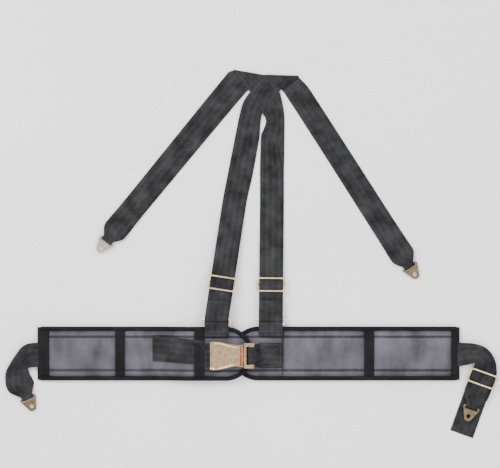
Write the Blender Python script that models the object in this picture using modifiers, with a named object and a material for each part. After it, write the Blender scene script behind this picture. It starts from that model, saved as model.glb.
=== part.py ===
"""A racing harness laid out flat: two lap pads buckled together, two shoulder straps that cross in a
sewn diamond, and four bolt brackets. The layout is drawn in millimetres with +X from the buckle's lever
towards its tongue, +Y towards the diamond and +Z up from the surface it lies on. Left and right in the
names are the sheet's, seen from above."""

import math

import bmesh
import bpy
from mathutils import Matrix, Vector

MM = 0.001
ORIGIN = Vector((15.14, 14.16, 0.0))

# Webbing: 2 in straps.
WEB = 1.5
HALF_WEB = 24.0
GAP = 0.3
FLOOR_LAYER = WEB / 2 + 0.01
LAYER_STEP = WEB + GAP

# Lap pads.
PAD_Y = -184.7
PAD_RADIUS = 54.1
BINDING_WIDTH = 8.0
LEFT_PAD_SQUARE = -413.6
LEFT_PAD_CENTRE = -37.1
RIGHT_PAD_SQUARE = 429.8
RIGHT_PAD_CENTRE = 27.1
BINDING = (0.0, 10.2)
BACKING = (0.0, 1.0)
FOAM = (1.3, 8.3)
FACE = (8.6, 9.6)
LAP_LAYER = 11.25
SLEEVE = (12.3, 13.1)
TAPE = (13.4, 14.6)
TAIL = (13.4, 14.9)
TAPE_OVER_TAIL = (15.2, 16.4)
LAP_Y = -186.5
SLEEVE_HALF = 33.5
TAPE_HALF = 51.0

LEFT_SLEEVE_X = (-411.0, -76.0)
RIGHT_SLEEVE_X = (22.0, 427.0)
TAIL_OUTLINE = ((-183.2, -199.4), (-80.0, -206.0), (-80.0, -158.4), (-183.2, -148.8))

# The left pad climbs over the right pad's end between these two places.
RAMP_START = -172.0
RAMP_END = -104.0
LIFT = 10.5
RAMP_STEPS = 5

# Buckle.
BUCKLE_Y = -187.9
PIN_X = -5.2
PIN_Z = 32.2
PIN_RADIUS = 1.5
BARREL_RADIUS = 3.8
BODY_BASE = (23.9, 25.4)
TONGUE = (26.0, 28.0)
LEVER = (31.2, 33.2)
WALL_Y = (19.4, 21.3)
WALL_X = (-13.0, -2.6)
WALL_TOP = 36.2
WALL_SINK = 0.4
PIN_LENGTH = 44.0
BORE_LENGTH = 60.0
BARREL_HALF = 19.0
SPRING_ROOM = 6.0
SPRING_BORE = 3.1
LIP_X = (-68.2, -66.0)
LIP_HALF = 25.5
LIP_BOTTOM = 29.0
CLAW_X = (-20.0, -15.0)
CLAW_HALF = 6.0

# Brackets, measured from the strap bar's centre line towards the bolt.
BRACKET_THICKNESS = 3.0
BAR_HALF = 1.5
SLOT_END = 5.5
SLOT_HALF = 13.3
BRACKET_HALF = 17.0
BOLT_X = 19.0
BOLT_RADIUS = 4.25
TIP_RADIUS = 10.0
LOOP_RADIUS = 3.25
BUNCHED_HALF = 12.0
HOLE_SIDES = 24

# A strap's loop through a bracket, as distances along the strap from the bar.
BUNCHED_AT = 5.0
SPREAD_AT = 22.0
SPREAD_DROP = 1.5
OVER_RETURN_AT = 44.0
RETURN_LENGTH = 74.0
LAP_RETURN_LENGTH = 36.0
PAST_RETURN = 4.0
DOWN_BY = 20.0

# Three-bar slides and rings.
WIRE = 2.0
SLIDE_LENGTH = 30.0
SLIDE_HALF = 29.5
CHEEK_CLEARANCE = 1.0
CHEEK_PROUD = 0.1
RING_HALF = 29.0
RING_BARS = 11.0
RING_CORNER = 2.5

for old in list(bpy.data.objects):
    bpy.data.objects.remove(old, do_unlink=True)

harness = bpy.data.collections.new("racing_harness")
bpy.context.scene.collection.children.link(harness)
helpers = bpy.data.collections.new("cutters")
bpy.context.scene.collection.children.link(helpers)


def material(name, colour, roughness, metallic=0.0):
    made = bpy.data.materials.new(name)
    made.use_nodes = True
    shader = made.node_tree.nodes["Principled BSDF"]
    shader.inputs["Base Color"].default_value = (*colour, 1.0)
    shader.inputs["Roughness"].default_value = roughness
    shader.inputs["Metallic"].default_value = metallic
    return made


WEBBING = material("black_webbing", (0.012, 0.012, 0.014), 0.75)
NYLON = material("grey_violet_nylon", (0.045, 0.042, 0.058), 0.6)
EDGE_TAPE = material("black_edge_tape", (0.01, 0.01, 0.011), 0.8)
PAD_FOAM = material("pad_foam", (0.12, 0.12, 0.13), 0.95)
CREAM_STEEL = material("pale_zinc_steel", (0.72, 0.68, 0.55), 0.35, 1.0)
BRONZE_STEEL = material("yellow_zinc_steel", (0.55, 0.42, 0.22), 0.35, 1.0)
GOLD_WIRE = material("gold_wire", (0.66, 0.5, 0.24), 0.3, 1.0)
BUCKLE_GOLD = material("champagne_steel", (0.6, 0.52, 0.38), 0.32, 1.0)
SPRING_STEEL = material("spring_steel", (0.5, 0.5, 0.5), 0.35, 1.0)


def add_part(name, mesh, look, pivot=(0.0, 0.0, 0.0)):
    """Takes a mesh in layout millimetres, and links it in metres with its origin on the pivot."""
    mesh.transform(Matrix.Scale(MM, 4) @ Matrix.Translation(-Vector(pivot)))
    mesh.materials.clear()
    mesh.materials.append(look)
    part = bpy.data.objects.new(name, mesh)
    part.location = (Vector(pivot) - ORIGIN) * MM
    harness.objects.link(part)
    return part


def add_modifier(part, kind, **settings):
    modifier = part.modifiers.new(kind.lower(), kind)
    for key, value in settings.items():
        setattr(modifier, key, value)


def baked(shape):
    """The evaluated mesh of a helper object, welded, with the helper removed."""
    bpy.context.view_layer.update()
    graph = bpy.context.evaluated_depsgraph_get()
    mesh = bpy.data.meshes.new_from_object(shape.evaluated_get(graph))
    mesh.transform(shape.matrix_world)
    bpy.data.objects.remove(shape, do_unlink=True)
    bm = bmesh.new()
    bm.from_mesh(mesh)
    bmesh.ops.remove_doubles(bm, verts=bm.verts, dist=0.0005)
    bm.to_mesh(mesh)
    bm.free()
    return mesh


def flat_mesh(loops, low, high):
    """A flat outline, with any holes as further loops, extruded from low to high."""
    curve = bpy.data.curves.new("outline", "CURVE")
    curve.dimensions = "2D"
    curve.fill_mode = "BOTH"
    curve.extrude = (high - low) / 2
    for loop in loops:
        spline = curve.splines.new("POLY")
        spline.points.add(len(loop) - 1)
        for point, (x, y) in zip(spline.points, loop):
            point.co = (x, y, 0.0, 1.0)
        spline.use_cyclic_u = True
    shape = bpy.data.objects.new("outline", curve)
    shape.location.z = (low + high) / 2
    helpers.objects.link(shape)
    mesh = baked(shape)
    bpy.data.curves.remove(curve)
    return mesh


def arc(centre, radius, start, end, steps):
    """Points on an arc, from the start angle to the end angle in degrees."""
    points = []
    for i in range(steps + 1):
        angle = math.radians(start + (end - start) * i / steps)
        points.append((centre[0] + radius * math.cos(angle), centre[1] + radius * math.sin(angle)))
    return points


def rectangle(x_low, x_high, y_low, y_high):
    return [(x_low, y_low), (x_high, y_low), (x_high, y_high), (x_low, y_high)]


def box_mesh(low, high):
    bm = bmesh.new()
    bmesh.ops.create_cube(bm, size=1.0)
    size = Vector(high) - Vector(low)
    bmesh.ops.scale(bm, vec=size, verts=bm.verts)
    bmesh.ops.translate(bm, vec=(Vector(high) + Vector(low)) / 2, verts=bm.verts)
    mesh = bpy.data.meshes.new("box")
    bm.to_mesh(mesh)
    bm.free()
    return mesh


def rod_mesh(centre, radius, length, axis="Y", sides=24):
    turn = {"X": Matrix.Rotation(math.pi / 2, 4, "Y"), "Y": Matrix.Rotation(math.pi / 2, 4, "X")}[axis]
    bm = bmesh.new()
    bmesh.ops.create_cone(
        bm, cap_ends=True, segments=sides, radius1=radius, radius2=radius, depth=length
    )
    bmesh.ops.transform(bm, matrix=Matrix.Translation(centre) @ turn, verts=bm.verts)
    mesh = bpy.data.meshes.new("rod")
    bm.to_mesh(mesh)
    bm.free()
    return mesh


def combined(base, others, operation="UNION"):
    """The base mesh with the other meshes joined to it or cut from it, in layout millimetres."""
    shape = bpy.data.objects.new("base", base)
    helpers.objects.link(shape)
    tools = []
    for other in others:
        tool = bpy.data.objects.new("tool", other)
        helpers.objects.link(tool)
        add_modifier(shape, "BOOLEAN", operation=operation, object=tool)
        tools.append(tool)
    mesh = baked(shape)
    for tool in tools:
        bpy.data.objects.remove(tool, do_unlink=True)
    return mesh


# Webbing: a strap is a list of rows, each row the two edge points across the strap.


def level_row(first, second, z):
    return ((*first, z), (*second, z))


def folded_rows(first, second, low, high, outward, steps=6):
    """Rows that carry a strap round a fold at this row, from the low layer to the high one."""
    radius = (high - low) / 2
    rows = []
    for i in range(steps + 1):
        angle = math.pi * i / steps
        shift = Vector(outward) * radius * math.sin(angle)
        z = (high + low) / 2 - radius * math.cos(angle)
        ends = [(Vector(point) + shift) for point in (first, second)]
        rows.append(tuple((end.x, end.y, z) for end in ends))
    return rows


def add_strap(name, rows, look=WEBBING):
    """An open strip through the rows, given the webbing's thickness about its middle surface."""
    bm = bmesh.new()
    lines = [[bm.verts.new(point) for point in row] for row in rows]
    for before, after in zip(lines, lines[1:]):
        bm.faces.new((before[0], before[1], after[1], after[0]))
    mesh = bpy.data.meshes.new(name)
    bm.to_mesh(mesh)
    bm.free()
    strap = add_part(name, mesh, look)
    add_modifier(strap, "SOLIDIFY", thickness=WEB * MM, offset=0.0, use_even_offset=True)


def station(start, along, distance, half, z):
    """A row square across a straight strap, at a distance from its start."""
    across = Vector((-along[1], along[0]))
    middle = Vector(start) + Vector(along) * distance
    return level_row(tuple(middle + across * half), tuple(middle - across * half), z)


def bracket_loop(bar, along, floor, back_length):
    """Rows from the sewn return end, under the bracket's bar, round it and up onto the main run."""
    top = floor + 2 * LOOP_RADIUS
    under = [
        station(bar, along, back_length, HALF_WEB, floor),
        station(bar, along, SPREAD_AT, HALF_WEB, floor),
        station(bar, along, BUNCHED_AT, BUNCHED_HALF, floor),
    ]
    first, second = station(bar, along, 0.0, BUNCHED_HALF, floor)
    turn = folded_rows(first[:2], second[:2], floor, top, (-along[0], -along[1]), 8)
    over = [
        station(bar, along, BUNCHED_AT, BUNCHED_HALF, top),
        station(bar, along, SPREAD_AT, HALF_WEB, top - SPREAD_DROP),
    ]
    return under + turn + over


# Rear straps: from the bracket up to the fold, then down to the sewn diamond.

LEFT_REAR_BAR = (-274.7, 41.0)
LEFT_REAR_ALONG = (0.632, 0.775)
RIGHT_REAR_BAR = (329.6, -10.2)
RIGHT_REAR_ALONG = (-0.541, 0.841)
LEFT_FRONT_LAYER = FLOOR_LAYER + 2.0
RIGHT_FRONT_LAYER = LEFT_FRONT_LAYER + LAYER_STEP


def run_out(bar, along):
    """The main run over its own return end, then down to the surface."""
    return [
        station(bar, along, OVER_RETURN_AT, HALF_WEB, FLOOR_LAYER + LAYER_STEP),
        station(bar, along, RETURN_LENGTH + PAST_RETURN, HALF_WEB, FLOOR_LAYER + LAYER_STEP),
        station(bar, along, RETURN_LENGTH + DOWN_BY, HALF_WEB, FLOOR_LAYER),
    ]


def rear_strap_left():
    rows = bracket_loop(LEFT_REAR_BAR, LEFT_REAR_ALONG, FLOOR_LAYER, RETURN_LENGTH)
    rows += run_out(LEFT_REAR_BAR, LEFT_REAR_ALONG)
    rows.append(level_row((-32.0, 377.6), (6.2, 340.8), FLOOR_LAYER))
    rows += folded_rows((-22.0, 381.0), (36.0, 371.0), FLOOR_LAYER, LEFT_FRONT_LAYER, (0.17, 0.985))
    rows.append(level_row((11.0, 338.0), (61.0, 353.0), LEFT_FRONT_LAYER))
    rows.append(level_row((36.2, 296.0), (70.6, 337.8), LEFT_FRONT_LAYER))
    add_strap("rear_strap_left", rows)


def rear_strap_right():
    rows = bracket_loop(RIGHT_REAR_BAR, RIGHT_REAR_ALONG, FLOOR_LAYER, RETURN_LENGTH)
    rows += run_out(RIGHT_REAR_BAR, RIGHT_REAR_ALONG)
    rows.append(level_row((75.0, 342.0), (127.6, 347.4), FLOOR_LAYER))
    rows += folded_rows((41.0, 370.0), (108.0, 368.0), FLOOR_LAYER, RIGHT_FRONT_LAYER, (0.03, 1.0))
    rows.append(level_row((11.0, 338.0), (73.0, 342.0), RIGHT_FRONT_LAYER))
    rows.append(level_row((-3.0, 316.4), (36.2, 296.0), RIGHT_FRONT_LAYER))
    add_strap("rear_strap_right", rows)


# Shoulder straps: from the diamond down to the joint above each adjuster, then to the ring.

STRAP_CUT_Y = 122.0
LEFT_CUT_X = -19.2
RIGHT_CUT_X = 54.9
RING_BAR_Y = -115.0
LEFT_RING_X = -55.5
RIGHT_RING_X = 52.4
RIGHT_TAB_LAYER = BINDING[1] + GAP + WEB / 2
LEFT_TAB_LAYER = RIGHT_TAB_LAYER + LIFT
RING_LOOP = WIRE + GAP + WEB / 2
SLIDE_BELOW_CUT = 169.0
PAST_SLIDE = 3.0
RETURN_ENDS_AT = 0.845
TAB_END_Y = -150.5
TAB_BEND_Y = -138.0
FOLD_SLACK = 0.4

# Heights where each shoulder strap steps down from the diamond.
LEFT_STEP_DOWN = 2.6
RIGHT_STEP_DOWN = 1.6


def adjuster_path(cut_x, ring_x, ring_layer):
    """The start, end and unit direction of the straight strap from the cut down to the ring."""
    start = Vector((cut_x, STRAP_CUT_Y, FLOOR_LAYER))
    end = Vector((ring_x, RING_BAR_Y, ring_layer))
    return start, end, (end - start).normalized()


def cut_row(cut_x, ring_x, ring_layer):
    """The shoulder strap's last row, square to the adjuster strap and clear of it."""
    start, _, direction = adjuster_path(cut_x, ring_x, ring_layer)
    square = direction.cross(Vector((0.0, 0.0, 1.0))).normalized() * HALF_WEB
    start = start - direction * (2 * GAP)
    return tuple(start + square), tuple(start - square)


def shoulder_straps():
    rows = [
        level_row((-3.3, 315.5), (35.4, 295.2), RIGHT_FRONT_LAYER),
        level_row((-10.6, 288.8), (32.0, 276.0), LEFT_STEP_DOWN),
        level_row((-15.2, 267.4), (30.2, 249.0), FLOOR_LAYER),
        level_row((-32.0, 182.0), (16.4, 172.0), FLOOR_LAYER),
        cut_row(LEFT_CUT_X, LEFT_RING_X, LEFT_TAB_LAYER),
    ]
    add_strap("shoulder_strap_left", rows)
    rows = [
        level_row((37.2, 295.2), (71.4, 337.0), LEFT_FRONT_LAYER),
        level_row((43.0, 280.0), (78.2, 304.0), RIGHT_STEP_DOWN),
        level_row((38.4, 264.0), (80.2, 280.0), FLOOR_LAYER),
        level_row((33.2, 252.0), (79.6, 218.0), FLOOR_LAYER),
        level_row((31.0, 192.0), (79.0, 182.0), FLOOR_LAYER),
        cut_row(RIGHT_CUT_X, RIGHT_RING_X, RIGHT_TAB_LAYER),
    ]
    add_strap("shoulder_strap_right", rows)


def adjuster_strap(name, cut_x, ring_x, ring_layer):
    """Straight through the slide, round the ring's upper bar, and back up to the slide's lower side."""
    start, end, direction = adjuster_path(cut_x, ring_x, ring_layer)
    left = Vector((-HALF_WEB, 0.0, 0.0))
    square = direction.cross(Vector((0.0, 0.0, 1.0))).normalized() * HALF_WEB
    below_slide = start + direction * (SLIDE_BELOW_CUT + SLIDE_LENGTH / 2 + PAST_SLIDE)
    rows = [tuple(tuple(point + side) for side in (square, -square)) for point in (start, below_slide)]
    first, second = tuple(end + left), tuple(end - left)
    top = ring_layer + 2 * RING_LOOP
    turn = folded_rows(first[:2], second[:2], ring_layer, top, (0.0, -1.0), 8)
    back = start.lerp(end, RETURN_ENDS_AT)
    height = back.z + 2 * RING_LOOP
    last = ((back.x - HALF_WEB, back.y, height), (back.x + HALF_WEB, back.y, height))
    add_strap(name, rows + turn + [last])


def ring_tab(name, ring_x, layer):
    """Sewn flat on the pad's edge, looped through the ring's lower bar and folded back over itself."""
    x_low, x_high = ring_x - HALF_WEB, ring_x + HALF_WEB
    bar_y = RING_BAR_Y - RING_BARS
    top = layer + 2 * RING_LOOP
    rows = [level_row((x_low, TAB_END_Y), (x_high, TAB_END_Y), layer)]
    rows += folded_rows((x_low, bar_y), (x_high, bar_y), layer, top, (0.0, 1.0), 8)
    over = layer + LAYER_STEP
    rows.append(level_row((x_low, TAB_BEND_Y), (x_high, TAB_BEND_Y), over + FOLD_SLACK))
    rows.append(level_row((x_low, TAB_END_Y), (x_high, TAB_END_Y), over))
    add_strap(name, rows)


def ring_mesh():
    """A rectangular wire ring that lies flat, with the strap's bar at the top."""
    outer = RING_HALF - WIRE
    corner = RING_CORNER
    half = RING_BARS / 2
    points = []
    for x, y, start in ((1, 1, 0), (-1, 1, 90), (-1, -1, 180), (1, -1, 270)):
        points += arc((x * (outer - corner), y * (half - corner)), corner, start, start + 90, 4)
    curve = bpy.data.curves.new("ring", "CURVE")
    curve.dimensions = "3D"
    curve.bevel_depth = WIRE
    curve.bevel_resolution = 2
    spline = curve.splines.new("POLY")
    spline.points.add(len(points) - 1)
    for point, (x, y) in zip(spline.points, points):
        point.co = (x, y, 0.0, 1.0)
    spline.use_cyclic_u = True
    shape = bpy.data.objects.new("ring", curve)
    helpers.objects.link(shape)
    mesh = baked(shape)
    bpy.data.curves.remove(curve)
    return mesh


def add_rings():
    for side, ring_x, layer in (
        ("left", LEFT_RING_X, LEFT_TAB_LAYER),
        ("right", RIGHT_RING_X, RIGHT_TAB_LAYER),
    ):
        mesh = ring_mesh()
        centre = (ring_x, RING_BAR_Y - RING_BARS / 2, layer + RING_LOOP)
        mesh.transform(Matrix.Translation(centre))
        ring = add_part(f"strap_ring_{side}", mesh, GOLD_WIRE, centre)
        ring.data.shade_smooth()
        ring_tab(f"ring_tab_{side}", ring_x, layer)


def slide_mesh():
    """Two outer bars over the strap, a middle bar under it, and a cheek at each side."""
    lift = WEB / 2 + GAP + WIRE
    length = 2 * (SLIDE_HALF - CHEEK_CLEARANCE)
    reach = SLIDE_LENGTH / 2 - WIRE
    pieces = [
        rod_mesh((0.0, reach, lift), WIRE, length, "X", 12),
        rod_mesh((0.0, -reach, lift), WIRE, length, "X", 12),
        rod_mesh((0.0, 0.0, -lift), WIRE, length, "X", 12),
    ]
    inner = HALF_WEB + CHEEK_CLEARANCE
    tall = lift + WIRE + CHEEK_PROUD
    for side in (-1, 1):
        low = (min(side * inner, side * SLIDE_HALF), -SLIDE_LENGTH / 2, -tall)
        high = (max(side * inner, side * SLIDE_HALF), SLIDE_LENGTH / 2, tall)
        pieces.append(box_mesh(low, high))
    return combined(pieces[0], pieces[1:])


def slide_frame(middle, direction):
    """Places a slide with its Y axis along the strap and its X axis level across it."""
    along = -Vector(direction).normalized()
    across = along.cross(Vector((0.0, 0.0, 1.0))).normalized()
    up = across.cross(along)
    turn = Matrix((across, along, up)).transposed().to_4x4()
    return Matrix.Translation(middle) @ turn


def add_slide(name, middle, direction):
    mesh = slide_mesh()
    mesh.transform(slide_frame(middle, direction))
    add_part(name, mesh, GOLD_WIRE, middle)


def add_shoulder_adjusters():
    for side, cut_x, ring_x, layer in (
        ("left", LEFT_CUT_X, LEFT_RING_X, LEFT_TAB_LAYER),
        ("right", RIGHT_CUT_X, RIGHT_RING_X, RIGHT_TAB_LAYER),
    ):
        adjuster_strap(f"adjuster_strap_{side}", cut_x, ring_x, layer)
        start, _, direction = adjuster_path(cut_x, ring_x, layer)
        add_slide(f"shoulder_slide_{side}", start + direction * SLIDE_BELOW_CUT, direction)


# Brackets.


def bracket_mesh():
    """A rounded triangle of plate: a bar and slot for the strap, then a bolt hole near the tip."""
    corner = 3.0
    back = -BAR_HALF + corner
    side = BRACKET_HALF - corner
    lean = 42.0
    outline = arc((back, -side), corner, 180, 270 + lean / 2, 4)
    outline += arc((BOLT_X, 0.0), TIP_RADIUS, -lean, lean, 8)
    outline += arc((back, side), corner, 90 - lean / 2, 180, 4)
    slot = rectangle(BAR_HALF, SLOT_END, -SLOT_HALF, SLOT_HALF)
    hole = arc((BOLT_X, 0.0), BOLT_RADIUS, 0, 360 - 360 / HOLE_SIDES, HOLE_SIDES - 1)
    return flat_mesh([outline, slot, hole], -BRACKET_THICKNESS / 2, BRACKET_THICKNESS / 2)


def add_bracket(name, bar, along, centre_z, look):
    """The bar's centre line is the bracket's hinge, and the bolt lies away from the strap."""
    mesh = bracket_mesh()
    heading = math.atan2(-along[1], -along[0])
    place = Matrix.Translation((*bar, centre_z)) @ Matrix.Rotation(heading, 4, "Z")
    mesh.transform(place)
    part = add_part(name, mesh, look, (*bar, centre_z))
    add_modifier(part, "BEVEL", width=0.5 * MM, segments=2, limit_method="ANGLE")


LEFT_LAP_BAR = (-433.3, -272.7)
LEFT_LAP_ALONG = (-0.423, 0.906)
RIGHT_LAP_ALONG = (0.34, 0.9404)
RIGHT_LAP_START = (469.0, -249.4)
RIGHT_LAP_BAR = (453.7, -291.8)
RIGHT_LOOP_FLOOR = FLOOR_LAYER + LAYER_STEP
RIGHT_LAP_TOP = RIGHT_LOOP_FLOOR + 2 * LOOP_RADIUS

# Places along the right lap strap, measured from its start.
FREE_TAIL_AT = -103.0
TAIL_FOLD_AT = 5.0
SLIDE_RUN = (-23.0, 35.0)
LAP_SLIDE_AT = 16.0


def add_brackets():
    low = FLOOR_LAYER + LOOP_RADIUS
    add_bracket("shoulder_bracket_left", LEFT_REAR_BAR, LEFT_REAR_ALONG, low, CREAM_STEEL)
    add_bracket("shoulder_bracket_right", RIGHT_REAR_BAR, RIGHT_REAR_ALONG, low, BRONZE_STEEL)
    add_bracket("lap_bracket_left", LEFT_LAP_BAR, LEFT_LAP_ALONG, low, BRONZE_STEEL)
    high = RIGHT_LOOP_FLOOR + LOOP_RADIUS
    add_bracket("lap_bracket_right", RIGHT_LAP_BAR, RIGHT_LAP_ALONG, high, BRONZE_STEEL)


# Lap strap ends.

LEFT_END_X = -416.0
RIGHT_END_X = 432.0


def lap_end_left():
    """Out of the pad, round in a fan towards the surface, and through the bracket."""
    rows = bracket_loop(LEFT_LAP_BAR, LEFT_LAP_ALONG, FLOOR_LAYER, LAP_RETURN_LENGTH)[:-1]
    rows += [
        level_row((-470.0, -262.0), (-422.0, -252.0), 6.6),
        level_row((-477.0, -247.0), (-424.0, -240.0), 6.2),
        level_row((-477.0, -223.0), (-432.0, -215.0), 6.4),
        level_row((-469.0, -206.0), (-430.5, -213.4), 7.2),
        level_row((-456.0, -186.0), (-428.0, -212.8), 8.2),
        level_row((-444.0, -171.0), (-424.5, -212.4), 9.4),
        level_row((-431.0, -164.4), (-420.5, -212.0), 10.6),
        level_row((LEFT_END_X, LAP_Y + HALF_WEB), (LEFT_END_X, LAP_Y - HALF_WEB), LAP_LAYER),
    ]
    add_strap("lap_end_left", rows)


def lap_end_right():
    """Out of the pad, through the slide and the bracket, back under the slide, and out as a free tail."""
    start = RIGHT_LAP_START
    along = RIGHT_LAP_ALONG
    rows = [station(start, along, FREE_TAIL_AT, HALF_WEB, FLOOR_LAYER)]
    first, second = station(start, along, TAIL_FOLD_AT, HALF_WEB, FLOOR_LAYER)
    rows += folded_rows(first[:2], second[:2], FLOOR_LAYER, RIGHT_LOOP_FLOOR, along)
    rows += bracket_loop(RIGHT_LAP_BAR, along, RIGHT_LOOP_FLOOR, LAP_RETURN_LENGTH)[1:-1]
    rows += [station(start, along, place, HALF_WEB, RIGHT_LAP_TOP) for place in SLIDE_RUN]
    rows += [
        level_row((460.0, -203.4), (499.0, -195.0), 9.4),
        level_row((457.0, -203.5), (482.0, -173.0), 9.9),
        level_row((448.0, -206.5), (458.0, -164.5), 10.6),
        level_row((RIGHT_END_X, LAP_Y - HALF_WEB), (RIGHT_END_X, LAP_Y + HALF_WEB), LAP_LAYER),
    ]
    add_strap("lap_end_right", rows)
    along_3d = Vector((*along, 0.0))
    middle = Vector((*start, RIGHT_LAP_TOP)) + along_3d * LAP_SLIDE_AT
    add_slide("lap_slide_right", middle, -along_3d)


# Pads.


def pad_outline(square_x, centre_x, inset):
    """Square at the outer end and a half circle at the inner end, drawn in from the edge by the inset."""
    side = 1 if centre_x > square_x else -1
    radius = PAD_RADIUS - inset
    points = [(square_x + side * inset, PAD_Y - radius)]
    for x, y in arc((0.0, 0.0), radius, -90, 90, 20):
        points.append((centre_x + side * x, PAD_Y + y))
    points.append((square_x + side * inset, PAD_Y + radius))
    return points


def ramp_height(x):
    along = min(max((x - RAMP_START) / (RAMP_END - RAMP_START), 0.0), 1.0)
    return LIFT * along * along * (3 - 2 * along)


def lifted(mesh):
    """Cuts the mesh at the ramp's stations and raises it over the right pad's end."""
    bm = bmesh.new()
    bm.from_mesh(mesh)
    for i in range(RAMP_STEPS + 1):
        x = RAMP_START + (RAMP_END - RAMP_START) * i / RAMP_STEPS
        everything = bm.verts[:] + bm.edges[:] + bm.faces[:]
        bmesh.ops.bisect_plane(bm, geom=everything, dist=1e-5, plane_co=(x, 0, 0), plane_no=(1, 0, 0))
    for vert in bm.verts:
        vert.co.z += ramp_height(vert.co.x)
    bm.to_mesh(mesh)
    bm.free()
    return mesh


def add_pad(side, square_x, centre_x, shape):
    inner = pad_outline(square_x, centre_x, BINDING_WIDTH + GAP)
    for layer, extent, look in (
        ("backing", BACKING, NYLON),
        ("foam", FOAM, PAD_FOAM),
        ("face", FACE, NYLON),
    ):
        add_part(f"pad_{layer}_{side}", shape(flat_mesh([inner], *extent)), look)
    rings = [pad_outline(square_x, centre_x, 0.0), pad_outline(square_x, centre_x, BINDING_WIDTH)]
    add_part(f"pad_binding_{side}", shape(flat_mesh(rings, *BINDING)), EDGE_TAPE)


def plate(x_low, x_high, middle_y, half, extent):
    return flat_mesh([rectangle(x_low, x_high, middle_y - half, middle_y + half)], *extent)


def same(mesh):
    return mesh


def add_pads():
    add_pad("left", LEFT_PAD_SQUARE, LEFT_PAD_CENTRE, lifted)
    add_pad("right", RIGHT_PAD_SQUARE, RIGHT_PAD_CENTRE, same)
    left_sleeve = plate(*LEFT_SLEEVE_X, PAD_Y, SLEEVE_HALF, SLEEVE)
    add_part("webbing_sleeve_left", lifted(left_sleeve), NYLON)
    right_sleeve = plate(*RIGHT_SLEEVE_X, PAD_Y, SLEEVE_HALF, SLEEVE)
    add_part("webbing_sleeve_right", right_sleeve, NYLON)
    for name, low, high, extent in (
        ("cross_tape_left_outer", -410.0, -389.5, TAPE),
        ("cross_tape_left_middle", -257.6, -238.6, TAPE),
        ("cross_tape_left_inner", -99.5, -80.5, TAPE_OVER_TAIL),
        ("cross_tape_right_inner", 239.0, 258.4, TAPE),
        ("cross_tape_right_outer", 413.0, 427.5, TAPE),
    ):
        shape = lifted if high < 0 else same
        add_part(name, shape(plate(low, high, PAD_Y, TAPE_HALF, extent)), EDGE_TAPE)
    add_part("belt_tail", lifted(flat_mesh([TAIL_OUTLINE], *TAIL)), WEBBING)


LEVEL_UNTIL_X = -75.0
REAR_BAR_X = -58.0
REAR_LOOP_END_X = -73.0
RIGHT_LAP_WEB_X = 24.0


def lap_webbing():
    """The strap inside each pad's sleeve. On the left it ends in a loop round the buckle body's rear bar."""
    layer = LAP_LAYER
    rows = [level_row((LEFT_END_X + GAP, LAP_Y + HALF_WEB), (LEFT_END_X + GAP, LAP_Y - HALF_WEB), layer)]
    for i in range(RAMP_STEPS + 1):
        x = RAMP_START + (RAMP_END - RAMP_START) * i / RAMP_STEPS
        rows.append(level_row((x, LAP_Y + HALF_WEB), (x, LAP_Y - HALF_WEB), layer + ramp_height(x)))
    upper = layer + LIFT
    bar_z = sum(BODY_BASE) / 2
    reach = WEB / 2 + GAP + (BODY_BASE[1] - BODY_BASE[0]) / 2
    y_ends = (BUCKLE_Y + HALF_WEB, BUCKLE_Y - HALF_WEB)
    rows.append(level_row((LEVEL_UNTIL_X, LAP_Y + HALF_WEB), (LEVEL_UNTIL_X, LAP_Y - HALF_WEB), upper))
    bar = [(REAR_BAR_X, y) for y in y_ends]
    rows += folded_rows(bar[0], bar[1], bar_z - reach, bar_z + reach, (1.0, 0.0), 6)
    rows.append(level_row((REAR_LOOP_END_X, y_ends[0]), (REAR_LOOP_END_X, y_ends[1]), bar_z + reach))
    add_strap("lap_webbing_left", rows)
    rows = [
        level_row((RIGHT_LAP_WEB_X, LAP_Y + HALF_WEB), (RIGHT_LAP_WEB_X, LAP_Y - HALF_WEB), layer),
        level_row((RIGHT_END_X - GAP, LAP_Y + HALF_WEB), (RIGHT_END_X - GAP, LAP_Y - HALF_WEB), layer),
    ]
    add_strap("lap_webbing_right", rows)


# Buckle: a lift-lever body on the left, a tongue on the right.


def mirrored_outline(points):
    """Closes an outline given as (x, half width) pairs, about the buckle's middle line."""
    upper = [(x, BUCKLE_Y + half) for x, half in points]
    lower = [(x, BUCKLE_Y - half) for x, half in reversed(points)]
    return upper + lower


def buckle_body():
    outline = mirrored_outline([(-2.5, 21.3), (-20.0, 21.3), (-48.0, 27.5), (-62.0, 27.5)])
    slot = rectangle(-57.8, -52.5, BUCKLE_Y - 24.6, BUCKLE_Y + 24.6)
    base = flat_mesh([outline, slot], *BODY_BASE)
    walls = []
    for side in (-1, 1):
        faces = sorted(BUCKLE_Y + side * y for y in WALL_Y)
        bottom = BODY_BASE[0] + WALL_SINK
        walls.append(box_mesh((WALL_X[0], faces[0], bottom), (WALL_X[1], faces[1], WALL_TOP)))
    body = combined(base, walls)
    bore = rod_mesh((PIN_X, BUCKLE_Y, PIN_Z), PIN_RADIUS + GAP, BORE_LENGTH)
    add_part("buckle_body", combined(body, [bore], "DIFFERENCE"), BUCKLE_GOLD)


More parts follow.
